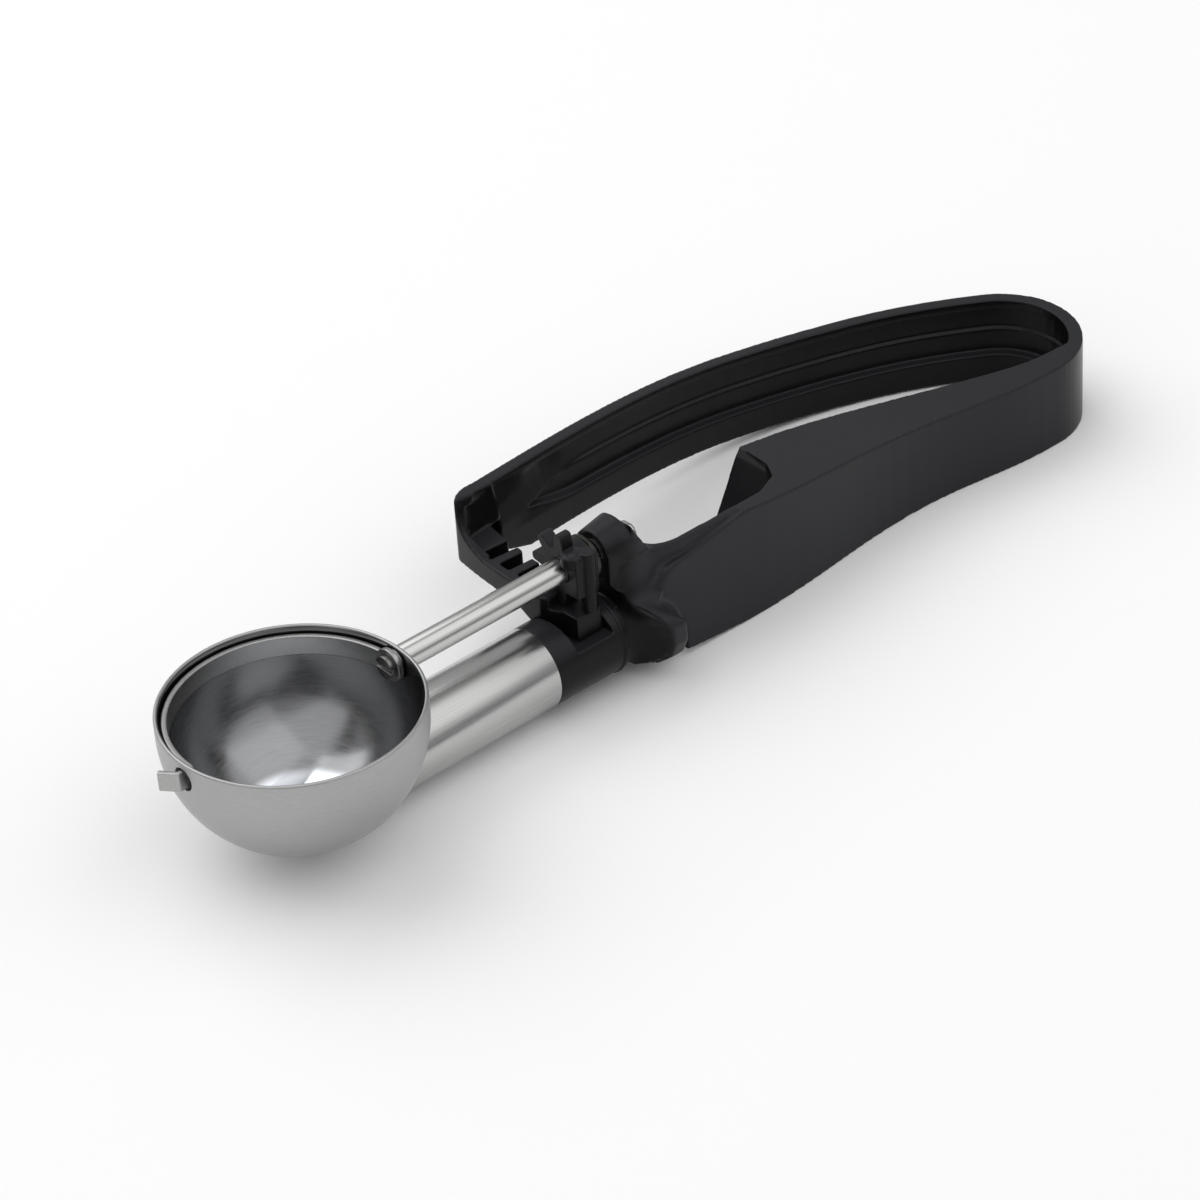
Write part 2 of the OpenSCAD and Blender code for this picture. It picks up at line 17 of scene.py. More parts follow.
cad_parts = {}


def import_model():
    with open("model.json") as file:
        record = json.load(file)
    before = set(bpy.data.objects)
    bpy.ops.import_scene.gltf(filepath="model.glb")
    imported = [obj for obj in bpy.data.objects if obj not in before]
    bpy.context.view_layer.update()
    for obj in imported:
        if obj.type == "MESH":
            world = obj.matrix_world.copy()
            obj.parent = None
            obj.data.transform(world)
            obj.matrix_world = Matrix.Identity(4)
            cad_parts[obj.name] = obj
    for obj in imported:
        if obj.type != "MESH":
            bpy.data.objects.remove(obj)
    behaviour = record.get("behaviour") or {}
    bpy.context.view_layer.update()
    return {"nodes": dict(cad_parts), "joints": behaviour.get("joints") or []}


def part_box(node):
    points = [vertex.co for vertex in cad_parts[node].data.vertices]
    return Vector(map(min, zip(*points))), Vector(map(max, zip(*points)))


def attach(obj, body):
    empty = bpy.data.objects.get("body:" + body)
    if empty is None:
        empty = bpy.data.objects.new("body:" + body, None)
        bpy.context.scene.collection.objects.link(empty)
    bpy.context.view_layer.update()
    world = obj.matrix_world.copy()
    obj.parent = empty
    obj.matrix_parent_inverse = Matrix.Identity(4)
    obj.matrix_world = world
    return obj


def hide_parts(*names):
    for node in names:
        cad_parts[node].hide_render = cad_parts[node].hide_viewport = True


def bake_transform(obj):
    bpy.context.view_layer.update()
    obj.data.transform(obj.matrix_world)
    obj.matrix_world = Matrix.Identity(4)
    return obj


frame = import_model()
nodes = frame["nodes"]

MM = 0.001
bowl_low, bowl_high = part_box("bowl")
rod_low, rod_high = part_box("rod")
ORIGIN = Vector(((bowl_low.x + bowl_high.x) / 2,
                 (rod_low.y + rod_high.y) / 2,
                 (rod_low.z + rod_high.z) / 2))


def at(x, y, z):
    """A point of the tool frame, in the row frame."""
    return ORIGIN + Vector((x, y, z)) * MM


def low(node):
    """The lowest corner of a CAD node, in the tool frame."""
    return (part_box(node)[0] - ORIGIN) / MM


def high(node):
    """The highest corner of a CAD node, in the tool frame."""
    return (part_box(node)[1] - ORIGIN) / MM


# Sizes taken from the CAD nodes and the joints
BOWL_R = (bowl_high.x - bowl_low.x) / 2 / MM
RIM_Z = high("bowl").z
ROD_R = (rod_high.z - rod_low.z) / 2 / MM
BEND = Vector([j for j in frame["joints"] if j["name"] == "squeeze"][0]["pos_m"])
BEND_X = (BEND.x - ORIGIN.x) / MM
BEND_Y = (BEND.y - ORIGIN.y) / MM
FLOOR_Z = low("handle_grip").z


# ------------------------------------------------------------------ mesh helpers

WELD = 1e-7
SMOOTH_ANGLE = 50
SOFT_FACTOR = 0.5


def piece(name, mesh):
    """A new object round a mesh."""
    made = bpy.data.objects.new(name, mesh)
    bpy.context.scene.collection.objects.link(made)
    return made


def place(points):
    """Points of the tool frame as row frame tuples."""
    return [tuple(at(*p)) for p in points]


def smooth(made):
    """Smooth shading, except over edges that turn by more than SMOOTH_ANGLE."""
    made.data.shade_smooth()
    made.data.set_sharp_from_angle(angle=math.radians(SMOOTH_ANGLE))


def lathe(name, profile, sides, axis):
    """A closed outline of (along, radius) pairs turned round the X or Z axis through the zero point."""
    rings = len(profile)
    points = []
    for k in range(sides):
        turn = 2 * math.pi * k / sides
        for along, radius in profile:
            a, b = radius * math.cos(turn), radius * math.sin(turn)
            points.append((along, a, b) if axis == "X" else (a, b, along))
    faces = []
    for k in range(sides):
        here = k * rings
        there = (k + 1) % sides * rings
        for i in range(rings):
            after = (i + 1) % rings
            faces.append((here + i, here + after, there + after, there + i))
    mesh = bpy.data.meshes.new(name)
    mesh.from_pydata(place(points), [], faces)
    weld(mesh)
    return piece(name, mesh)


def weld(mesh):
    """Joins doubled points, which drops faces without area, and points every face outward."""
    work = bmesh.new()
    work.from_mesh(mesh)
    bmesh.ops.remove_doubles(work, verts=work.verts, dist=WELD)
    bmesh.ops.recalc_face_normals(work, faces=work.faces)
    work.to_mesh(mesh)
    work.free()


def swept(name, rings):
    """A closed mesh over rings of points of the tool frame."""
    work = bmesh.new()
    loops = [[work.verts.new(at(*p)) for p in ring] for ring in rings]
    count = len(loops[0])
    for a, b in zip(loops, loops[1:]):
        for i in range(count):
            work.faces.new((a[i], a[(i + 1) % count], b[(i + 1) % count], b[i]))
    work.faces.new(loops[0])
    work.faces.new(loops[-1])
    bmesh.ops.recalc_face_normals(work, faces=work.faces)
    mesh = bpy.data.meshes.new(name)
    work.to_mesh(mesh)
    work.free()
    return piece(name, mesh)


def copy_of(node_names, name):
    """One welded mesh of several CAD nodes."""
    work = bmesh.new()
    for n in node_names:
        work.from_mesh(nodes[n].data)
    bmesh.ops.remove_doubles(work, verts=work.verts, dist=WELD)
    mesh = bpy.data.meshes.new(name)
    work.to_mesh(mesh)
    work.free()
    return piece(name, mesh)


def joined(name, parts):
    """One object of several, which are taken away."""
    work = bmesh.new()
    for p in parts:
        work.from_mesh(p.data)
        bpy.data.objects.remove(p)
    mesh = bpy.data.meshes.new(name)
    work.to_mesh(mesh)
    work.free()
    return piece(name, mesh)


def apply_modifiers(made):
    """Makes an object's modifiers part of its mesh."""
    seen = made.evaluated_get(bpy.context.evaluated_depsgraph_get())
    mesh = bpy.data.meshes.new_from_object(seen)
    made.modifiers.clear()
    made.data = mesh


def cut(made, cutter):
    """Takes cutter's space out of made, then deletes cutter."""
    step = made.modifiers.new("cut", "BOOLEAN")
    step.operation = "DIFFERENCE"
    step.solver = "EXACT"
    step.object = cutter
    apply_modifiers(made)
    bpy.data.objects.remove(cutter)


def skin(made, voxel, rounds):
    """One closed skin over the piece, with its edges softened."""
    step = made.modifiers.new("skin", "REMESH")
    step.mode = "VOXEL"
    step.voxel_size = voxel * MM
    soft = made.modifiers.new("soft", "SMOOTH")
    soft.factor = SOFT_FACTOR
    soft.iterations = rounds
    apply_modifiers(made)
    made.data.shade_smooth()


def eased(x, start, end):
    """0 before start and 1 past end, smooth in between."""
    share = min(1, max(0, (x - start) / (end - start)))
    return share * share * (3 - 2 * share)


def curve(ends, share):
    """A point of a Bezier curve through its control points."""
    points = [Vector(p) for p in ends]
    while len(points) > 1:
        points = [a.lerp(b, share) for a, b in zip(points, points[1:])]
    return points[0]


# ------------------------------------------------------------------ material helpers

# The values that noise nearly always stays between, and how rough it is
NOISE_LOW = 0.3
NOISE_HIGH = 0.7
NOISE_ROUGH = 0.6


def new_material(name, colour, metallic, roughness):
    """A material and its shader."""
    made = bpy.data.materials.new(name)
    made.use_nodes = True
    shader = made.node_tree.nodes["Principled BSDF"]
    shader.inputs["Base Color"].default_value = (*colour, 1)
    shader.inputs["Metallic"].default_value = metallic
    shader.inputs["Roughness"].default_value = roughness
    return made, shader


def noise(made, stretch, detail):
    """Noise over the piece's own coordinates, in cycles per millimetre along each axis."""
    tree = made.node_tree
    where = tree.nodes.new("ShaderNodeTexCoord")
    mapping = tree.nodes.new("ShaderNodeMapping")
    mapping.inputs["Scale"].default_value = [s / MM for s in stretch]
    grain = tree.nodes.new("ShaderNodeTexNoise")
    grain.inputs["Scale"].default_value = 1
    grain.inputs["Detail"].default_value = detail
    grain.inputs["Roughness"].default_value = NOISE_ROUGH
    tree.links.new(where.outputs["Object"], mapping.inputs["Vector"])
    tree.links.new(mapping.outputs["Vector"], grain.inputs["Vector"])
    return grain.outputs["Fac"]


def spread(made, source, low_value, high_value, start=NOISE_LOW, end=NOISE_HIGH):
    """A pattern between start and end, turned into a range of values."""
    tree = made.node_tree
    span = tree.nodes.new("ShaderNodeMapRange")
    span.inputs["From Min"].default_value = start
    span.inputs["From Max"].default_value = end
    span.inputs["To Min"].default_value = low_value
    span.inputs["To Max"].default_value = high_value
    tree.links.new(source, span.inputs["Value"])
    return span.outputs["Result"]


def shades(made, source, dark, light, start=NOISE_LOW, end=NOISE_HIGH):
    """A pattern between start and end, turned into a range of colours."""
    tree = made.node_tree
    ramp = tree.nodes.new("ShaderNodeValToRGB")
    ramp.color_ramp.elements[0].position = start
    ramp.color_ramp.elements[0].color = (*dark, 1)
    ramp.color_ramp.elements[1].position = end
    ramp.color_ramp.elements[1].color = (*light, 1)
    tree.links.new(source, ramp.inputs["Fac"])
    return ramp.outputs["Color"]


def maths(made, operation, *sources):
    """The outcome of an operation on sockets and plain numbers."""
    tree = made.node_tree
    step = tree.nodes.new("ShaderNodeMath")
    step.operation = operation
    for socket, source in zip(step.inputs, sources):
        if isinstance(source, bpy.types.NodeSocket):
            tree.links.new(source, socket)
        else:
            socket.default_value = source
    return step.outputs["Value"]


def axes_of(made, output):
    """The X, Y and Z of one of the texture coordinates, as three sockets."""
    tree = made.node_tree
    where = tree.nodes.new("ShaderNodeTexCoord")
    axes = tree.nodes.new("ShaderNodeSeparateXYZ")
    tree.links.new(where.outputs[output], axes.inputs["Vector"])
    return axes.outputs["X"], axes.outputs["Y"], axes.outputs["Z"]


def bump(made, source, height, strength=1.0):
    """Relief of a height in millimetres."""
    tree = made.node_tree
    raised = tree.nodes.new("ShaderNodeBump")
    raised.inputs["Strength"].default_value = strength
    raised.inputs["Distance"].default_value = height * MM
    tree.links.new(source, raised.inputs["Height"])
    tree.links.new(raised.outputs["Normal"], tree.nodes["Principled BSDF"].inputs["Normal"])


def paint(made, *materials):
    """Gives a piece its materials, the first of them on every face."""
    made.data.materials.clear()
    for material in materials:
        made.data.materials.append(material)
    for face in made.data.polygons:
        face.material_index = 0


# ------------------------------------------------------------------ materials

ROUGH_SPAN = 0.1
DARK_LINE = 0.9
LIGHT_LINE = 1.06


def steel(name, stretch, roughness, colour, depth):
    """Stainless steel with fine lines drawn along the axis that has the smallest stretch."""
    made, shader = new_material(name, colour, 1.0, roughness)
    link = made.node_tree.links.new
    lines = noise(made, stretch, detail=6)
    dark = [c * DARK_LINE for c in colour]
    light = [c * LIGHT_LINE for c in colour]
    link(spread(made, lines, roughness - ROUGH_SPAN / 2, roughness + ROUGH_SPAN / 2),
         shader.inputs["Roughness"])
    link(shades(made, lines, dark, light), shader.inputs["Base Color"])
    bump(made, lines, depth)
    return made


PLASTIC_BASE = (0.007, 0.007, 0.0078)
# Painted shade and painted light: the plastic's tone on faces that look sideways or down, and on upward and
# near-side faces
PLASTIC_SHADED = (0.0036, 0.0036, 0.004)
PLASTIC_LIT = (0.0182, 0.0186, 0.0212)
# Faces that look sideways or down stay at the dark tone, up to this value: painted shade, while upward faces
# take the light tone as painted light
DARK_END = 0.25
PLASTIC_ROUGH = 0.33
PLASTIC_ROUGH_SPAN = (0.27, 0.38)
PLASTIC_SPECULAR = 0.16
GRAIN_HEIGHT = 0.008
GRAIN_STRENGTH = 0.35
# Faces toward -Y are painted paler behind this stretch of X and short of this stretch of Y: painted light on
# the near side
LIT_SIDE_X = (73, 78)
LIT_SIDE_Y = (8, 12)
LIT_SIDE_SHARE = -1.08
CLOUD_SHARE = 0.16


def black_plastic():
    """Moulded black nylon: a very fine grain, uneven gloss and a little random tone, with painted light on
    top and on the near side, and painted shade on faces that look sideways or down.
    """
    made, shader = new_material("black_plastic", PLASTIC_BASE, 0.0, PLASTIC_ROUGH)
    shader.inputs["Specular IOR Level"].default_value = PLASTIC_SPECULAR
    link = made.node_tree.links.new
    cloud = noise(made, (0.05, 0.05, 0.05), detail=3)
    link(spread(made, cloud, *PLASTIC_ROUGH_SPAN), shader.inputs["Roughness"])
    _, facing_y, facing_z = axes_of(made, "Normal")
    spot_x, spot_y, _ = axes_of(made, "Object")
    behind = spread(made, spot_x, 0, LIT_SIDE_SHARE, *[at(x, 0, 0).x for x in LIT_SIDE_X])
    near_side = spread(made, spot_y, 1, 0, *[at(0, y, 0).y for y in LIT_SIDE_Y])
    lit_side = maths(made, "MULTIPLY", behind, near_side)
    # Painted light: upward faces, and faces toward -Y on the near side behind the stretch of X above, are
    # painted toward the light tone; the rest stays at the painted shade, and the cloud adds random tone
    side = maths(made, "MULTIPLY_ADD", facing_y, lit_side, facing_z)
    painted_light_and_mottle = maths(made, "MULTIPLY_ADD", cloud, CLOUD_SHARE, side)
    link(shades(made, painted_light_and_mottle, PLASTIC_SHADED, PLASTIC_LIT, DARK_END, 1), shader.inputs["Base Color"])
    bump(made, noise(made, (3, 3, 3), detail=2), GRAIN_HEIGHT, GRAIN_STRENGTH)
    return made


POLISHED_R = 12
POLISHED_FADE = 1.2
POLISHED = (("Roughness", "FLOAT", 0.07), ("Base Color", "RGBA", (0.8, 0.83, 0.88, 1)))


def bowl_inside():
    """Spun steel, brushed round the wall and polished to a mirror at the bottom."""
    made = steel("bowl_inside_steel", (0.3, 0.3, 3), 0.2, (0.29, 0.293, 0.3), 0.0005)
    tree = made.node_tree
    where = tree.nodes.new("ShaderNodeTexCoord")
    far = tree.nodes.new("ShaderNodeVectorMath")
    far.operation = "DISTANCE"
    far.inputs[1].default_value = at(0, 0, -BOWL_R)
    tree.links.new(where.outputs["Object"], far.inputs[0])
    disc = tree.nodes.new("ShaderNodeMapRange")
    disc.interpolation_type = "SMOOTHSTEP"
    disc.inputs["From Min"].default_value = (POLISHED_R - POLISHED_FADE) * MM
    disc.inputs["From Max"].default_value = (POLISHED_R + POLISHED_FADE) * MM
    tree.links.new(far.outputs["Value"], disc.inputs["Value"])
    for socket, kind, polished in POLISHED:
        target = tree.nodes["Principled BSDF"].inputs[socket]
        brushed = target.links[0].from_socket
        mix = tree.nodes.new("ShaderNodeMix")
        mix.data_type = kind
        first, second = [i for i in mix.inputs if i.enabled and i.name in ("A", "B")]
        first.default_value = polished
        tree.links.new(disc.outputs["Result"], mix.inputs["Factor"])
        tree.links.new(brushed, second)
        tree.links.new([o for o in mix.outputs if o.enabled][0], target)
    return made


def pale_floor():
    """Plain matt white paper."""
    made, shader = new_material("pale_floor", (0.95, 0.95, 0.95), 0.0, 0.9)
    shader.inputs["Specular IOR Level"].default_value = 0.1
    return made


PLASTIC = black_plastic()
# Each steel: its name, the stretch of its lines, its roughness, colour and relief
TUBE_STEEL = steel("tube_steel", (0.02, 7, 7), 0.24, (0.49, 0.49, 0.485), 0.0008)
ROD_STEEL = steel("rod_steel", (0.05, 6, 6), 0.24, (0.55, 0.55, 0.54), 0.0008)
# The hammered end's steel is rougher with a coarser relief, and its colour is painted dark as painted shade
PEENED_PAINTED_SHADE_STEEL = steel("peened_painted_shade_steel", (2, 2, 2), 0.3, (0.2, 0.2, 0.195), 0.02)
WASHER_STEEL = steel("washer_steel", (1, 3, 3), 0.35, (0.045, 0.05, 0.043), 0.002)
BLADE_STEEL = steel("blade_steel", (1.5, 1.5, 1.5), 0.36, (0.4, 0.4, 0.395), 0.001)
OUTER_STEEL = steel("bowl_outside_steel", (0.6, 0.6, 5), 0.42, (0.41, 0.41, 0.412), 0.001)
INNER_STEEL = bowl_inside()


# ------------------------------------------------------------------ steel pieces

WALL = 0.8
ARC_STEPS = 72
BOWL_SIDES = 192
TONGUE_HOLE_R = 2.3
ROD_GAP = 0.06
DRILL_SIDES = 64
DRILL_PAST = 2
# The softened rim, as distance below its top and in from the outer wall
RIM = [(0.5, 0), (0.25, 0.02), (0.06, 0.2), (0, 0.4), (0.06, 0.6), (0.25, WALL - 0.02), (0.5, WALL)]
# Faces within this share of the wall from its inner side carry the inner steel
INNER_SHARE = 0.3


def quarter(radius):
    """A quarter circle of (height, radius) pairs from the bowl's bottom up to its centre's level."""
    turns = [math.pi / 2 * k / ARC_STEPS for k in range(ARC_STEPS + 1)]
    return [(-radius * math.cos(t), radius * math.sin(t)) for t in turns]


def bowl():
    """A pressed half sphere with a short straight band, a softened rim and two holes."""
    inner = BOWL_R - WALL
    rim = [(RIM_Z - below, BOWL_R - inward) for below, inward in RIM]
    made = lathe("bowl_shell", quarter(BOWL_R) + rim + quarter(inner)[::-1], BOWL_SIDES, "Z")
    holes = ((-BOWL_R - DRILL_PAST, -BOWL_R / 2, TONGUE_HOLE_R),
             (BOWL_R / 2, BOWL_R + DRILL_PAST, ROD_R + ROD_GAP))
    for x0, x1, r in holes:
        cut(made, lathe("drill", [(x0, 0), (x0, r), (x1, r), (x1, 0)], DRILL_SIDES, "X"))
    paint(made, OUTER_STEEL, INNER_STEEL)
    for face in made.data.polygons:
        centre = (face.center - ORIGIN) / MM
        reach = centre.length if centre.z < 0 else centre.xy.length
        if reach < inner + WALL * INNER_SHARE:
            face.material_index = 1
    smooth(made)
    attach(made, "handle")
    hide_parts("bowl")


EDGE_WIDTH = 0.12
EDGE_SEGMENTS = 3
EDGE_ANGLE = 35
FLAT_ANGLE = 1


def softened(node, name, body, slot, *materials):
    """A CAD node's own shape with small rounded edges."""
    made = copy_of([node], name)
    flat = made.modifiers.new("flat", "DECIMATE")
    flat.decimate_type = "DISSOLVE"
    flat.angle_limit = math.radians(FLAT_ANGLE)
    edge = made.modifiers.new("edge", "BEVEL")
    edge.width = EDGE_WIDTH * MM
    edge.segments = EDGE_SEGMENTS
    edge.limit_method = "ANGLE"
    edge.angle_limit = math.radians(EDGE_ANGLE)
    apply_modifiers(made)
    smooth(made)
    paint(made, *materials)
    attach(made, body)
    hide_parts(node)
    return made


def neck_tube():
    """The tube under the bowl."""
    softened("neck_tube", "neck_tube_steel", "handle", "tube_steel", TUBE_STEEL)


def retaining_washer():
    """The ring between the pinion and the ear."""
    softened("retaining_washer", "retaining_ring", "spindle", "rod_steel", WASHER_STEEL)


# The rod is peened ahead of this, inside the bowl
PEENED_X = BOWL_R - 1


def rod():
    """The bright rod, with a rougher hammered end inside the bowl, whose colour is painted darker as painted
    shade.
    """
    made = softened("rod", "rod_steel_bar", "spindle", "rod_steel", ROD_STEEL, PEENED_PAINTED_SHADE_STEEL)
    # Faces ahead of the peened place take the hammered steel, with its painted shade
    for face in made.data.polygons:
        if (face.center - ORIGIN).x / MM < PEENED_X:
            face.material_index = 1


def moulded(made, node, body, material, voxel, rounds):
    """Finishes a small piece with a fine skin, whose edges are soft."""
    skin(made, voxel, rounds)
    paint(made, material)
    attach(made, body)
    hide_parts(node)


def scraper_blade():
    """The bent strip that sweeps the bowl."""
    strip = copy_of(["scraper_blade"], "scraper_strip")
    moulded(strip, "scraper_blade", "spindle", BLADE_STEEL, voxel=0.12, rounds=6)


# ------------------------------------------------------------------ collar and pinion

# The dome on the pinion's block: its middle, its half width along X, and how much narrower it is along Y
CAP = (63.4, -2.6, 3.6)
CAP_R = 2.6
CAP_SQUASH = 0.85
CAP_SIDES = 48
# The dome's rings, as height and share of its half width
CAP_RINGS = ((-1.6, 1.0), (0, 1.0), (0.5, 0.93), (0.9, 0.7), (1.1, 0.35), (1.15, 0.05))


def domed_cap():
    """The low dome on top of the pinion's block."""
    turns = [2 * math.pi * k / CAP_SIDES for k in range(CAP_SIDES)]
    rings = []
    for rise, share in CAP_RINGS:
        along = CAP_R * share
        across = CAP_R * CAP_SQUASH * share
        rings.append([(CAP[0] + along * math.cos(t), CAP[1] + across * math.sin(t), CAP[2] + rise)
                      for t in turns])
    return swept("cap", rings)


def pinion():
    """The toothed sector with the domed block beside it."""
    made = joined("sector_pinion", [copy_of(["pinion"], "teeth"), domed_cap()])
    moulded(made, "pinion", "spindle", PLASTIC, voxel=0.12, rounds=6)


def collar():
    """The part of the moulding that sits on the tube and guides the rack."""
    made = copy_of(["collar"], "collar_moulding")
    moulded(made, "collar", "handle", PLASTIC, voxel=0.16, rounds=4)


# ------------------------------------------------------------------ fillers under the handle's skin

BEND_R = 16.6
LEVEL_Z = -9.3
STRIP_H = 17.5
# The loop's section as depth from its outer face and drop below its top line
SECTION = [(0, 0), (2.9, 0), (2.9, 1.8), (1.8, 1.8), (1.8, 6.8), (2.5, 6.8), (2.5, 11.7), (4.5, 11.7),
           (4.5, STRIP_H), (0, STRIP_H)]
CUT_ANGLES = (11, 12.5, 14, 15.5, 17)


def bend_filler():
    """The slice of the bend that the solids leave open, so that the skin closes over it."""
    rings = []
    for angle in CUT_ANGLES:
        along, across = math.cos(math.radians(angle)), math.sin(math.radians(angle))
        rings.append([(BEND_X + (BEND_R - depth) * along, BEND_Y + (BEND_R - depth) * across, LEVEL_Z - drop)
                      for depth, drop in SECTION])
    return swept("filler", rings)


# The handle's top line rises forward from the waist
WAIST_X = 140
WAIST_RISE = 1.89
TOP_SLOPE = 0.126


def top_z(x):
    """Height of the handle's top line ahead of the waist."""
    return LEVEL_Z + WAIST_RISE + TOP_SLOPE * (WAIST_X - x)


# Control points of the outer face of the loop's far side, seen from above
FAR_SIDE = [(67.7, 31.6, 0), (116.6, 42.0, 0), (152.76, 50.08, 0), (193.72, 21.4, 0)]
HALVINGS = 30
SMALL_SHARE = 0.001


def on_loop(x, depth, drop):
    """A point of the loop's far side: a depth in from its outer face and a drop below its top line."""
    low_share, high_share = 0.0, 1.0
    for _ in range(HALVINGS):
        share = (low_share + high_share) / 2
        if curve(FAR_SIDE, share).x < x:
            low_share = share
        else:
            high_share = share
    here = curve(FAR_SIDE, share)
    along = (curve(FAR_SIDE, share + SMALL_SHARE) - here).normalized()
    return (here.x + along.y * depth, here.y - along.x * depth, top_z(here.x) - drop)


def along_loop(name, places, outline):
    """A filler on the loop's far side: outline(x) gives its depths and drops at each place along X."""
    return swept(name, [[on_loop(x, depth, drop) for depth, drop in outline(x)] for x in places])


# The front of the loop's far side, as depths from its outer face and drops below its top line
BACK_DEPTH = 0.8
LIP_DEPTH = 2.8
LIP_DROP = 1.0
SLOPE_DROP = 4.5
SEAM_DROP = 9.3
SEAM_GAP = 0.1
FLANGE_DEPTH = 4.5
FLANGE_DROP = 12.4
# The slope's two forms, as its depth at one drop, that drop, and how fast it deepens below it
UPRIGHT = (4.0, SLOPE_DROP, 0.1)
LEANING = (1.9, 2.2, 0.25)
LEANING_X = (69, 90)
# The leaf-shaped recess opens at the seam from here on, and is fully open at the end of these stretches of X
LEAF_X = 78.5
LEAF_SPAN = (LEAF_X - 0.5, 88)
DOWN_SPAN = (LEAF_X - 1, 96)
FADE_SPAN = (LEAF_X - 1, 112)
FRONT_PLACES = (70.3, 72, 73, 74, 75, 76, 77, LEAF_X)
LEAF_PLACES = (LEAF_X - 0.5, LEAF_X + 0.5, 80, 82, 85, 88, 92, 97, 103, 110)


def face_depth(x, drop):
    """Depth of the slope between lip and flange: upright at the front, leaning back farther along."""
    upright, leaning = (depth + growth * (drop - start) for depth, start, growth in (UPRIGHT, LEANING))
    share = eased(x, *LEANING_X)
    return upright * (1 - share) + leaning * share


def front_outline(x):
    """Lip, slope and flange in one face, ahead of the leaf."""
    return [(BACK_DEPTH, LIP_DROP), (LIP_DEPTH, LIP_DROP), (face_depth(x, SLOPE_DROP), SLOPE_DROP),
            (face_depth(x, SEAM_DROP), SEAM_DROP), (FLANGE_DEPTH, FLANGE_DROP), (BACK_DEPTH, FLANGE_DROP)]


def groove_outline(x):
    """The slope above the leaf, which sinks away into the loop's channel."""
    fade = eased(x, *FADE_SPAN)
    leaf = eased(x, *LEAF_SPAN)
    edge_drop = SEAM_DROP - SEAM_GAP - 2.4 * eased(x, *DOWN_SPAN)
    head_drop = LIP_DROP + 1.2 * leaf
    return [(BACK_DEPTH, head_drop), (LIP_DEPTH - 1.05 * leaf, head_drop),
            (face_depth(x, SLOPE_DROP) - 1.2 * fade, SLOPE_DROP),
            (face_depth(x, edge_drop) - 1.75 * fade, edge_drop), (BACK_DEPTH, edge_drop)]


def ledge_outline(x):
    """The ledge below the leaf, which draws back toward the flange."""
    leaf = eased(x, *LEAF_SPAN)
    root_drop = SEAM_DROP + SEAM_GAP + 2.2 * eased(x, *DOWN_SPAN)
    corner = face_depth(LEAF_X, SEAM_DROP + SEAM_GAP) * (1 - leaf) + (FLANGE_DEPTH - 0.1) * leaf
    return [(BACK_DEPTH, root_drop), (corner - 0.05 - 1.6 * leaf, root_drop),
            (corner, root_drop + 0.6 * leaf), (FLANGE_DEPTH, FLANGE_DROP), (BACK_DEPTH, FLANGE_DROP)]


def ramp_fillers():
    """The smooth slope from the loop's lip down to its flange, with the leaf-shaped recess in it."""
    return [along_loop("ramp", FRONT_PLACES, front_outline),
            along_loop("groove", LEAF_PLACES, groove_outline),
            along_loop("ledge", LEAF_PLACES, ledge_outline)]


# The front corner's pocket: place along X, then Y of the outer wall, the slope's head and its foot
POCKET = [(61.6, 28.0, 27.6, 26.4), (62.9, 28.6, 28.2, 26.6), (64, 29.6, 28.7, 26.9),
          (66, 30.4, 28.9, 27.2), (68, 30.6, 29.0, 27.4), (71, 31, 29.1, 27.6)]
POCKET_TOP = 1.2
POCKET_FOOT = -6.4


def pocket_filler():
    """The leaning back wall of the pocket in the loop's front corner."""
    rings = []
    for x, wall, head, foot in POCKET:
        rings.append([(x, wall, POCKET_TOP), (x, head, POCKET_TOP),
                      (x, foot, POCKET_FOOT), (x, wall, POCKET_FOOT)])
    return swept("pocket", rings)


NECK_Z = -17.8
NECK_R = 7.2
FLARE_X = 70.8
FLARE_STEPS = 6
# The flare hollows toward a point this far along to the edge and this much wider than the neck
FLARE_PULL = 0.75
FLARE_SWELL = 1.05
# Inside the guard the filler closes behind its edge, a little in from it, and over the neck's middle
GUARD_T = 2.5
GUARD_INSET = 0.9
GUARD_HEART = (4, -3)
# The guard's edge, from its top round its outer side to its foot
GUARD_EDGE = [(72.0, -5.2, -8.6), (72.6, -7.8, -10.0), (74, -11, -11.4), (75.6, -13.4, -13.0),
              (76.3, -13.8, -16.0), (76.3, -13.0, -19.0), (75.4, -11.0, -21.6), (74, -8.4, -23.2),
              (73, -6.0, -24.2)]


def guard_flare():
    """The hollow flare between the round neck and the guard's edge."""
    rings = []
    for x, y, z in GUARD_EDGE:
        turn = math.atan2(z - NECK_Z, y)
        start = Vector((FLARE_X, NECK_R * math.cos(turn), NECK_Z + NECK_R * math.sin(turn)))
        pull = Vector((FLARE_X + FLARE_PULL * (x - FLARE_X), start.y * FLARE_SWELL,
                       NECK_Z + FLARE_SWELL * (start.z - NECK_Z)))
        face = [tuple(curve((start, pull, (x, y, z)), k / FLARE_STEPS)) for k in range(FLARE_STEPS + 1)]
        inside = [(x + GUARD_T, y * GUARD_INSET, NECK_Z + GUARD_INSET * (z - NECK_Z)),
                  (x + GUARD_HEART[0], GUARD_HEART[1], NECK_Z)]
        rings.append(face + inside)
    return swept("flare", rings)


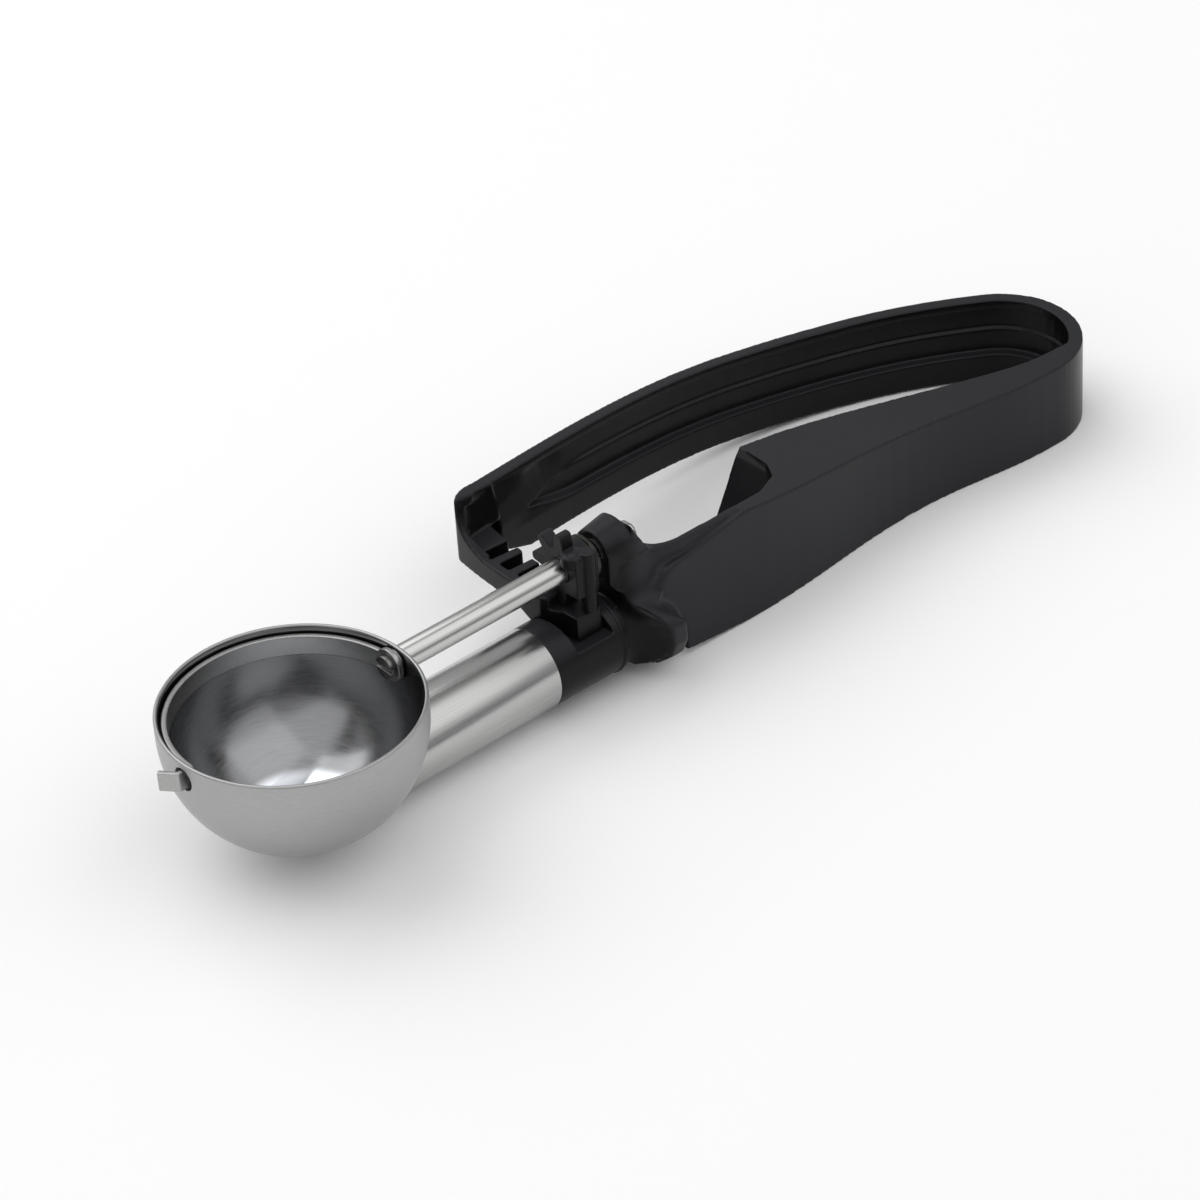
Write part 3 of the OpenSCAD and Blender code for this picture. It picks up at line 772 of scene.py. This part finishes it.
# The hollow beside the ear, as place along X, then (y, z) of its head, its pull and its foot
HOLLOW = [(72.3, (-5.2, -2.5), (-5.4, -8.0), (-7.2, -9.6)), (74, (-5.2, -2.2), (-5.5, -8.5), (-9.0, -10.4)),
          (77, (-5.2, -2.2), (-5.6, -8.5), (-9.2, -10.6)), (79.5, (-5.2, -3.0), (-5.7, -8.0), (-8.2, -9.6)),
          (82, (-5.2, -4.5), (-5.7, -7.0), (-6.8, -8.2))]
HOLLOW_BACK = -4.5
HOLLOW_STEPS = 8


def hollow_filler():
    """The smooth hollow that leads from the ear's side out to the guard."""
    rings = []
    for x, head, pull, foot in HOLLOW:
        ends = [(x, *head), (x, *pull), (x, *foot)]
        face = [tuple(curve(ends, k / HOLLOW_STEPS)) for k in range(HOLLOW_STEPS + 1)]
        rings.append(face + [(x, HOLLOW_BACK, foot[1]), (x, HOLLOW_BACK, head[1])])
    return swept("hollow", rings)


# ------------------------------------------------------------------ moulded handle

VOXEL = 0.2
SOFT_ROUNDS = 8
# Extra rounds of smoothing for the moulding's soft places
FLOW_ROUNDS = {"guard": 26, "rib": 16, "ear": 50, "corner": 24, "loop": 14}
SMALLEST_SHARE = 0.01
# The guard, rib and ear are ahead of this X and short of this Y
GRIP_X = 96
GRIP_Y = 1
# The loop's far side is beyond this Y
LOOP_Y = 14


def flow_shares(x, y, z):
    """How much each soft place holds of a point."""
    shares = {}
    if x < GRIP_X and y < GRIP_Y:
        shares["guard"] = (eased(x, 70.6, 71.6) * (1 - eased(x, 81, 87)) * (1 - eased(y, -4, -1))
                           * (1 - eased(z, -8, -4)))
        shares["rib"] = eased(x, 75, 77) * (1 - eased(x, 92, 100)) * eased(z, -12, -8)
        shares["ear"] = (eased(x, 71, 73) * (1 - eased(x, 80, 84)) * eased(z, -11, -8)
                         * (1 - eased(z, 0, 3)))
    elif y > LOOP_Y:
        shares["corner"] = (1 - eased(x, 62, 69)) * eased(y, 20, 25) * eased(z, -7, -4)
        shares["loop"] = eased(x, 64, 70)
    return shares


def flow(made):
    """Rounds the moulding's soft places more than the rest."""
    groups = {name: made.vertex_groups.new(name=name) for name in FLOW_ROUNDS}
    for v in made.data.vertices:
        for name, share in flow_shares(*((v.co - ORIGIN) / MM)).items():
            if share > SMALLEST_SHARE:
                groups[name].add([v.index], share, "REPLACE")
    for name, rounds in FLOW_ROUNDS.items():
        step = made.modifiers.new("flow", "SMOOTH")
        step.factor = SOFT_FACTOR
        step.iterations = rounds
        step.vertex_group = name
    apply_modifiers(made)
    made.vertex_groups.clear()
    made.data.shade_smooth()


def nearest(node_names):
    """A search tree over some CAD nodes' own faces."""
    work = bmesh.new()
    for n in node_names:
        work.from_mesh(nodes[n].data)
    tree = BVHTree.FromBMesh(work)
    work.free()
    return tree


# The bend flexes behind SPRING_X, and the loop's far side already behind FLEX_X
SPRING_X = BEND_X - 8
FLEX_X = 100
# Ahead of this X the grip and the lever come close, and the nearer CAD node decides
CLOSE_X = 90


def mark_of(centre, grip_tree, lever_tree):
    """The piece that a face of the handle's skin belongs to."""
    c = (centre - ORIGIN) / MM
    if c.x > SPRING_X or (c.x > FLEX_X and c.y > LOOP_Y):
        return "spring"
    if c.x > CLOSE_X:
        return "handle" if c.y < LOOP_Y else "lever"
    near_grip = grip_tree.find_nearest(centre)[3]
    near_lever = lever_tree.find_nearest(centre)[3]
    return "handle" if near_grip < near_lever else "lever"


def kept(made, name, marks, mark):
    """The faces of a skin that carry one mark, with the whole skin's shading."""
    mesh = made.data.copy()
    normals = np.empty(len(mesh.vertices) * 3, np.float32)
    made.data.vertices.foreach_get("normal", normals)
    work = bmesh.new()
    work.from_mesh(mesh)
    work.verts.ensure_lookup_table()
    work.faces.ensure_lookup_table()
    layer = work.verts.layers.int.new("source")
    for v in work.verts:
        v[layer] = v.index
    gone = [f for f in work.faces if marks[f.index] != mark]
    bmesh.ops.delete(work, geom=gone, context="FACES")
    source = [v[layer] for v in work.verts]
    work.to_mesh(mesh)
    work.free()
    part = piece(name, mesh)
    mesh.shade_smooth()
    mesh.normals_split_custom_set_from_vertices(normals.reshape(-1, 3)[source])
    return part


def handle():
    """One skin over the whole springy moulding, split at the places where its bodies part."""
    solids = copy_of(["handle_grip", "squeeze_lever", "rack_arm"], "solids")
    fillers = [bend_filler(), guard_flare(), hollow_filler(), pocket_filler(), *ramp_fillers()]
    whole = joined("moulding", [solids, *fillers])
    skin(whole, VOXEL, SOFT_ROUNDS)
    flow(whole)
    paint(whole, PLASTIC)
    grip_tree = nearest(["handle_grip"])
    lever_tree = nearest(["squeeze_lever", "rack_arm"])
    marks = [mark_of(face.center, grip_tree, lever_tree) for face in whole.data.polygons]
    grip = kept(whole, "handle_moulding", marks, "handle")
    arm = kept(whole, "rack_arm_moulding", marks, "lever")
    loop = kept(whole, "spring_loop", marks, "spring")
    bpy.data.objects.remove(whole)
    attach(grip, "handle")
    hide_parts("handle_grip")
    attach(arm, "lever")
    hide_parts("rack_arm", "squeeze_lever")
    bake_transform(loop)


# ------------------------------------------------------------------ camera and light

# The photograph's camera: its heading, downward tilt and roll, its lens and sensor, and how far
# the zero point lies ahead of it, to its right and above its axis
VIEW_TURN = 39.57
VIEW_DROP = 35.07
VIEW_ROLL = -4.02
VIEW_LENS = 132.09
VIEW_SENSOR = 36
VIEW_AHEAD = 764.6
VIEW_RIGHT = -53.4
VIEW_UP = -20.6
CLIP_NEAR = 0.01
CLIP_FAR = 100


def camera():
    """The photograph's own view."""
    turn, drop, roll = (math.radians(a) for a in (VIEW_TURN, VIEW_DROP, VIEW_ROLL))
    level_right = Vector((math.cos(turn), -math.sin(turn), 0))
    level_ahead = Vector((math.sin(turn), math.cos(turn), 0))
    ahead = level_ahead * math.cos(drop) - Vector((0, 0, 1)) * math.sin(drop)
    level_up = level_ahead * math.sin(drop) + Vector((0, 0, 1)) * math.cos(drop)
    right = level_right * math.cos(roll) + level_up * math.sin(roll)
    up = level_up * math.cos(roll) - level_right * math.sin(roll)
    made = bpy.data.objects.new("camera", bpy.data.cameras.new("camera"))
    bpy.context.scene.collection.objects.link(made)
    made.data.sensor_width = VIEW_SENSOR
    made.data.lens = VIEW_LENS
    made.data.clip_start = CLIP_NEAR
    made.data.clip_end = CLIP_FAR
    away = -(right * VIEW_RIGHT + up * VIEW_UP + ahead * VIEW_AHEAD)
    turned = Matrix((right, up, -ahead)).transposed().to_4x4()
    made.matrix_world = Matrix.Translation(at(*away)) @ turned
    bpy.context.scene.camera = made


# What the steel mirrors, by the angle round the scoop's length: 0 is level toward the
# viewer's side, 90 straight up, 180 level on the far side, and -90 straight down.
STUDIO = [(-180, 0.62), (-150, 0.75), (-118, 0.5), (-97, 0.36), (-60, 0.5), (-18, 0.53), (-3, 0.3),
          (8, 0.26), (24, 0.42), (34, 0.55), (42, 0.95), (84, 0.95), (92, 0.7), (99, 0.24), (112, 0.24),
          (120, 0.5), (150, 0.46), (168, 0.3), (180, 0.4)]


def world():
    """The studio round the scoop, in stripes along its length."""
    made = bpy.data.worlds.new("studio")
    bpy.context.scene.world = made
    made.use_nodes = True
    tree = made.node_tree
    tree.nodes.clear()
    _, across, upward = axes_of(made, "Generated")
    angle = maths(made, "ARCTAN2", upward, maths(made, "MULTIPLY", across, -1))
    ramp = tree.nodes.new("ShaderNodeValToRGB")
    elements = ramp.color_ramp.elements
    while len(elements) > 1:
        elements.remove(elements[-1])
    for k, (degrees, level) in enumerate(STUDIO):
        share = (degrees + 180) / 360
        element = elements[0] if k == 0 else elements.new(share)
        element.position = share
        element.color = (level, level, level, 1)
    studio = tree.nodes.new("ShaderNodeBackground")
    out = tree.nodes.new("ShaderNodeOutputWorld")
    tree.links.new(spread(made, angle, 0, 1, -math.pi, math.pi), ramp.inputs["Fac"])
    tree.links.new(ramp.outputs["Color"], studio.inputs["Color"])
    tree.links.new(studio.outputs["Background"], out.inputs["Surface"])


# Soft boxes: name, place in the tool frame, side in metres and power in watts
LAMPS = (("key", (-250, 1100, 1500), 2.2, 22), ("front", (300, -1000, 1200), 1.8, 3.5))
LAMP_AIM = (80, 0, -10)


def lamp(name, where, size, power):
    """A square soft box that faces the middle of the scoop."""
    data = bpy.data.lights.new(name, "AREA")
    data.size = size
    data.energy = power
    made = bpy.data.objects.new(name, data)
    bpy.context.scene.collection.objects.link(made)
    made.location = at(*where)
    made.rotation_mode = "QUATERNION"
    made.rotation_quaternion = (at(*LAMP_AIM) - at(*where)).to_track_quat("-Z", "Y")


FLOOR_REACH = 12000
FLOOR_GAP = 0.04


def floor():
    """A plain pale floor under the scoop."""
    r, z = FLOOR_REACH, FLOOR_Z - FLOOR_GAP
    mesh = bpy.data.meshes.new("floor")
    mesh.from_pydata(place([(-r, -r, z), (r, -r, z), (r, r, z), (-r, r, z)]), [], [(0, 1, 2, 3)])
    made = piece("floor", mesh)
    paint(made, pale_floor())


bowl()
neck_tube()
retaining_washer()
rod()
scraper_blade()
pinion()
collar()
handle()
camera()
world()
floor()
for row in LAMPS:
    lamp(*row)

bpy.context.scene.view_settings.view_transform = "Standard"
